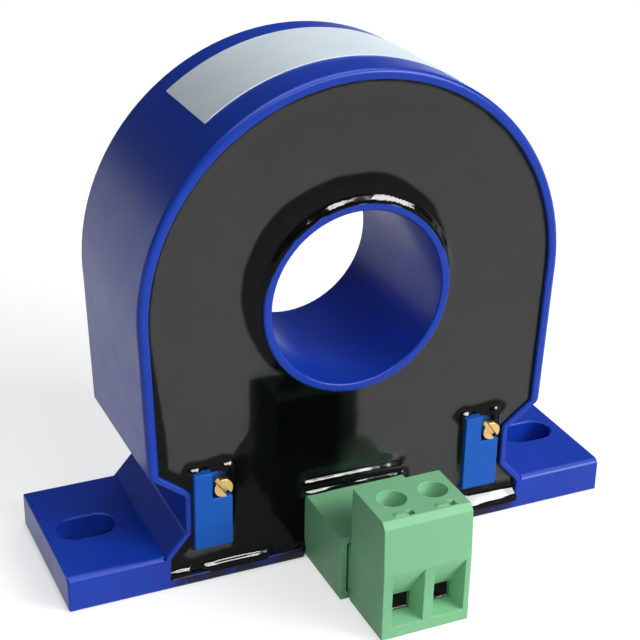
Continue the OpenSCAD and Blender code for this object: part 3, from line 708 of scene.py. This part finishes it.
class ResinSurface:
    """The poured front over a grid of points: how far it stands out, and where its reflection is
    painted dark.
    """

    def __init__(self):
        self.xs = np.arange(*GRID_X, GRID_STEP)
        self.zs = np.arange(*GRID_Z, GRID_STEP)
        self.px, self.pz = np.meshgrid(self.xs, self.zs, indexing="ij")
        self.measure()
        self.broad = lumps(self.xs, self.zs, BROAD_LUMPS, seed=3.1)
        self.middle = lumps(self.xs, self.zs, MIDDLE_LUMPS, seed=8.4)
        self.small = lumps(self.xs, self.zs, SMALL_LUMPS, seed=1.7)
        self.crest = np.clip(1.0 + 0.35 * self.middle + 0.1 * self.small, 0.8, 1.2)
        self.height = SKIN_Y - np.clip(self.rise(), LOWEST, HIGHEST)

    def measure(self):
        """Distances to all that the resin meets."""
        px, pz = self.px, self.pz
        self.wall = depth_inside(px, pz, inner_outline())
        self.tube = np.hypot(px, pz - TUBE_Z) - TUBE_R
        trimmers = [front_box(f"{side}_trimmer_body") for side in ("zero", "span")]
        self.trimmers = [(box, outside_box(px, pz, box)) for box in trimmers]
        left, _, right, top = front_box("terminal_header")
        self.header_box = (left, BELOW_BASE, right, top)
        self.header = outside_box(px, pz, self.header_box)
        self.collar = COLLAR_R - np.hypot(px - COLLAR_X, pz - TUBE_Z - COLLAR_UP)

    def lip(self, distance, width, slope=LIP_SLOPE):
        """A straight slope up to the thing, over the last width before it."""
        return slope * self.crest * np.maximum(width - np.maximum(distance, 0), 0)

    def tube_lip(self):
        upper_half = ease((self.pz - TUBE_Z) / TUBE_R, -0.1, 0.5)
        return upper_half * self.lip(self.tube, TUBE_LIP, TUBE_LIP_SLOPE)

    def base_lip(self):
        patches = ease(self.middle, -0.2, 0.1)
        return patches * self.lip(self.pz - BASE_LIP_Z, BASE_LIP)

    def trimmer_lips(self):
        """A lip round each trimmer, left out near the middle of its width."""
        total = 0
        for (left, _, right, _), distance in self.trimmers:
            off_middle = np.abs(self.px - (left + right) / 2)
            total += ease(off_middle, 0.9, 1.8) * self.lip(distance, TRIMMER_LIP)
        return total

    def header_lips(self):
        """A lip at the header's top, and a ridge with a groove behind it above that."""
        left, _, right, top = self.header_box
        over = ease(self.pz, top - 0.1, top + 1.1)
        over = over * ease(right - self.px, -1.0, 0.6) * ease(self.px - left, -1.0, 0.6)
        near_top = ease(self.pz, top - 0.8, top + 0.2)
        lips = near_top * self.lip(self.header, HEADER_LIP)
        lips += over * np.minimum(self.lip(self.header, HEADER_RIDGE), RIDGE_TOP)
        groove = GROOVE_DEPTH * (1 - ease(self.header, HEADER_RIDGE, GROOVE_END))
        return lips - over * groove

    def corner_dip(self):
        """At the lower right the resin slopes back from the base wall, in place of a lip."""
        above_base = self.pz - BASE_LIP_Z
        slope = DIP_SLOPE * np.maximum(DIP_REACH - above_base, 0)
        sunk = DIP_TILT * (self.px - DIP_X) - DIP_DEPTH
        sunk = sunk * (1 - ease(above_base, DIP_REACH, DIP_TOP))
        return ease(self.px, *DIP_START) * (slope + sunk - self.base_lip())

    def rise(self):
        """How far the surface stands out from the flat skin."""
        rise = WALL_RISE * np.exp(-np.maximum(self.wall, 0) / WALL_REACH)
        rise += 0.04 * self.broad + 0.012 * self.middle
        rise += COLLAR_RISE * ease(self.collar, 0.0, COLLAR_SLOPE)
        for _, distance in self.trimmers:
            rise += TRIMMER_RISE * np.exp(-((np.maximum(distance, 0) / TRIMMER_REACH) ** 2))
        rise += self.tube_lip() + self.base_lip() + self.trimmer_lips() + self.header_lips()
        return rise + self.corner_dip()

    def painted_reflection_share(self):
        """1 where the resin gets its painted dark reflection, black and low in specular, with ragged
        edges.
        """
        px, pz = self.px, self.pz
        ragged = 0.35 * self.middle + 0.12 * self.small
        areas = [
            ease(self.collar + 0.5 * self.broad + 0.3 * ragged, 0.0, 0.35),
            ease(REFLECTION_ROUND_HEADER - self.header + ragged, 0.0, 0.4),
            ease(REFLECTION_BASE_Z - pz + 2 * ragged, 0.0, 1.0),
        ]
        for (_, _, _, top), distance in self.trimmers:
            reach = REFLECTION_ROUND_TRIMMER + REFLECTION_OVER_TRIMMER * ease(pz, top - 1.5, top)
            areas.append(ease(reach - distance + ragged, 0.0, 0.35))
        at_left = ease(-px, *LEFT_REFLECTION_START) * (1 - ease(pz, *LEFT_REFLECTION_FADE))
        areas.append(ease(REFLECTION_AT_WALL + at_left - self.wall + 0.3 * ragged, 0.0, 0.25))
        # The dark patch where the shaded plug's reflection is painted on the resin
        areas.append(self.painted_plug_reflection(ragged))
        return np.maximum.reduce(areas)

    def painted_plug_reflection(self, ragged):
        """A painted reflection of the shaded plug: the dark patch between the left-hand trimmer and the
        header, up to the tube.
        """
        left = PLUG_REFLECTION_LEFT - PLUG_REFLECTION_FLARE * (1 - ease(self.pz, *PLUG_REFLECTION_FLARE_Z))
        right_of_left = ease(self.px - left + 0.3 * ragged, 0.0, 0.35)
        below_top = ease(PLUG_REFLECTION_TOP - self.pz + 0.4 * ragged, 0.0, 0.5)
        left_of_right = 1 - ease(self.px, *PLUG_REFLECTION_RIGHT)
        return right_of_left * below_top * left_of_right

    def shine(self):
        """1 on slopes that face up, which mirror the lamps."""
        return ease(np.gradient(self.height, GRID_STEP, axis=1), 0.3, 0.45)

    def kept(self):
        """Where there is resin: inside the wall, and outside what stands in it."""
        keep = (self.wall > -INTO_WALL) & (self.tube > -INTO_TUBE)
        for distance in [self.header] + [distance for _, distance in self.trimmers]:
            keep &= distance > -INTO_PARTS
        return keep


def front_sheet(surface):
    """A mesh of the surface's kept squares, with the mask of painted dark reflection and lip at every
    point.
    """
    bm = bmesh.new()
    # Per point: the mask of painted dark reflection, and the up-facing lips
    values = {"painted_reflection": surface.painted_reflection_share(), "lip": surface.shine()}
    layers = {name: bm.verts.layers.float.new(name) for name in values}
    keep = surface.kept()
    made = {}

    def corner(i, j):
        if (i, j) not in made:
            at = (surface.xs[i], surface.height[i, j], surface.zs[j])
            vert = bm.verts.new(Vector(at) * MM)
            for name, layer in layers.items():
                vert[layer] = values[name][i, j]
            made[i, j] = vert
        return made[i, j]

    for i in range(len(surface.xs) - 1):
        for j in range(len(surface.zs) - 1):
            if keep[i : i + 2, j : j + 2].all():
                square = ((i, j), (i + 1, j), (i + 1, j + 1), (i, j + 1))
                bm.faces.new([corner(*point) for point in square])
    return bm


def close_behind(bm):
    """Draw the sheet's rims back to a flat far side, so that it is a closed solid."""
    rims = [edge for edge in bm.edges if edge.is_boundary]
    drawn = bmesh.ops.extrude_edge_only(bm, edges=rims)["geom"]
    for part in drawn:
        if isinstance(part, bmesh.types.BMVert):
            part.co.y = BACK_Y * MM
    far = [edge for edge in bm.edges if edge.is_boundary]
    bmesh.ops.triangle_fill(bm, use_beauty=False, use_dissolve=False, edges=far)
    bmesh.ops.recalc_face_normals(bm, faces=bm.faces)


def pour_resin():
    bm = front_sheet(ResinSurface())
    close_behind(bm)
    mesh = bpy.data.meshes.new("resin_fill")
    bm.to_mesh(mesh)
    bm.free()
    piece = add_piece(mesh, "resin_fill", "base", black, ["potting_compound"])
    piece.data.shade_smooth()
    piece.data.set_sharp_from_angle(angle=CREASE)


pour_resin()


# Floor, light and background

FLOOR_REACH = 3.0
FLOOR_GREY = (0.52, 0.52, 0.52, 1)
NEAR_GLOW = 0.62
FAR_GLOW = 1.0
GLOW_FADE = (0.05, 0.22)
# The glow left under the part, a painted shadow, and how far inside and outside the part's edge it
# fades
UNDER_PART = 0.1
UNDER_INSET = 1.5 * MM
UNDER_OUTSET = 0.5 * MM
HALF_WIDTH = cad_box[1].x
HALF_DEPTH = -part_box("housing")[0].y


def clear_of_part(tree, at):
    """1 on the open floor and nearly 0 under the part, where the floor gets no light: a painted shadow
    on the floor's glow.
    """
    sides = split(tree, at)
    fades = [
        spread(tree, size_of(tree, side), UNDER_PART, 1, half - UNDER_INSET, half + UNDER_OUTSET)
        for side, half in ((sides["X"], HALF_WIDTH), (sides["Y"], HALF_DEPTH))
    ]
    return combine(tree, "MAXIMUM", *fades)


def floor_material():
    """Pale and matt, with a glow for the camera and for reflections that fades out the edge, and a
    painted shadow where that glow drops under the part.
    """
    material = bpy.data.materials.new("pale_floor")
    material.use_nodes = True
    tree = material.node_tree
    tree.nodes.remove(tree.nodes["Principled BSDF"])
    at = tree.nodes.new("ShaderNodeTexCoord").outputs["Object"]
    rays = tree.nodes.new("ShaderNodeLightPath").outputs
    seen = combine(tree, "MAXIMUM", rays["Is Camera Ray"], rays["Is Glossy Ray"])
    bare = combine(tree, "MULTIPLY", seen, clear_of_part(tree, at))

    def glow(level):
        strength = combine(tree, "MULTIPLY", bare, level)
        return add_node(tree, "ShaderNodeEmission", {"Strength": strength}).outputs[0]

    matt = add_node(tree, "ShaderNodeBsdfDiffuse", {"Color": FLOOR_GREY}).outputs[0]
    near = add_node(tree, "ShaderNodeAddShader", {0: matt, 1: glow(NEAR_GLOW)}).outputs[0]
    length = add_node(tree, "ShaderNodeVectorMath", {0: at}, operation="LENGTH")
    away = spread(tree, length.outputs["Value"], 0, 1, *GLOW_FADE)
    whole = add_node(tree, "ShaderNodeMixShader", {0: away, 1: near, 2: glow(FAR_GLOW)})
    tree.links.new(whole.outputs[0], tree.nodes["Material Output"].inputs["Surface"])
    return material


def make_floor():
    mesh = bpy.data.meshes.new("floor")
    signs = ((-1, -1), (1, -1), (1, 1), (-1, 1))
    corners = [(x * FLOOR_REACH, y * FLOOR_REACH, 0) for x, y in signs]
    mesh.from_pydata(corners, [], [(0, 1, 2, 3)])
    floor = bpy.data.objects.new("floor", mesh)
    scene.collection.objects.link(floor)
    floor.data.materials.append(floor_material())


# The room: its light on the part, and what the part mirrors of it by height (0 level, 1 up)
ROOM_LIGHT = 0.17
MIRRORED_LOW = 1.0
MIRRORED_HIGH = 0.06
MIRRORED_FADE = (0.0, 0.08)
OVERHEAD = 5.0
OVERHEAD_FADE = (0.78, 0.88)
BACKDROP = 1.0


def make_world():
    """White behind the part, dim on it, and mirrored as a dark room with a bright ceiling."""
    world = bpy.data.worlds.new("studio")
    scene.world = world
    world.use_nodes = True
    tree = world.node_tree
    rays = tree.nodes.new("ShaderNodeLightPath").outputs
    seen = combine(tree, "MAXIMUM", rays["Is Camera Ray"], rays["Is Transmission Ray"])
    coords = tree.nodes.new("ShaderNodeTexCoord")
    height = split(tree, coords.outputs["Generated"])["Z"]
    walls = spread(tree, height, MIRRORED_LOW, MIRRORED_HIGH, *MIRRORED_FADE)
    ceiling = spread(tree, height, 0, OVERHEAD, *OVERHEAD_FADE)
    mirrored = combine(tree, "ADD", walls, ceiling)
    on_part = mix(tree, rays["Is Glossy Ray"], ROOM_LIGHT, mirrored)
    background = tree.nodes["Background"]
    tree.links.new(mix(tree, seen, on_part, BACKDROP), background.inputs["Strength"])
    background.inputs["Color"].default_value = (1, 1, 1, 1)


# Lamps: place in metres, size in metres, power in watts, and whether the part mirrors them
LAMP_TARGET = Vector((0, 0, 0.03))
LAMPS = {
    "key": ((0.50, -0.50, 0.41), (0.35, 0.35), 5.9, True),
    "front_strip": ((0.16, -0.62, 0.50), (0.40, 0.10), 2.0, True),
    "side_fill": ((-0.60, -0.50, 0.42), (0.5, 0.5), 1.1, False),
    "back_fill": ((0.45, 0.60, 0.45), (0.5, 0.5), 2.0, False),
}


def make_lamp(name, at, size, power, mirrored):
    data = bpy.data.lights.new(name, "AREA")
    data.shape = "RECTANGLE"
    data.size, data.size_y = size
    data.energy = power
    lamp = bpy.data.objects.new(name, data)
    lamp.location = at
    lamp.rotation_mode = "QUATERNION"
    lamp.rotation_quaternion = (LAMP_TARGET - Vector(at)).to_track_quat("-Z", "Y")
    lamp.visible_glossy = mirrored
    scene.collection.objects.link(lamp)


make_floor()
make_world()
for name, settings in LAMPS.items():
    make_lamp(name, *settings)

scene.view_settings.view_transform = "Standard"
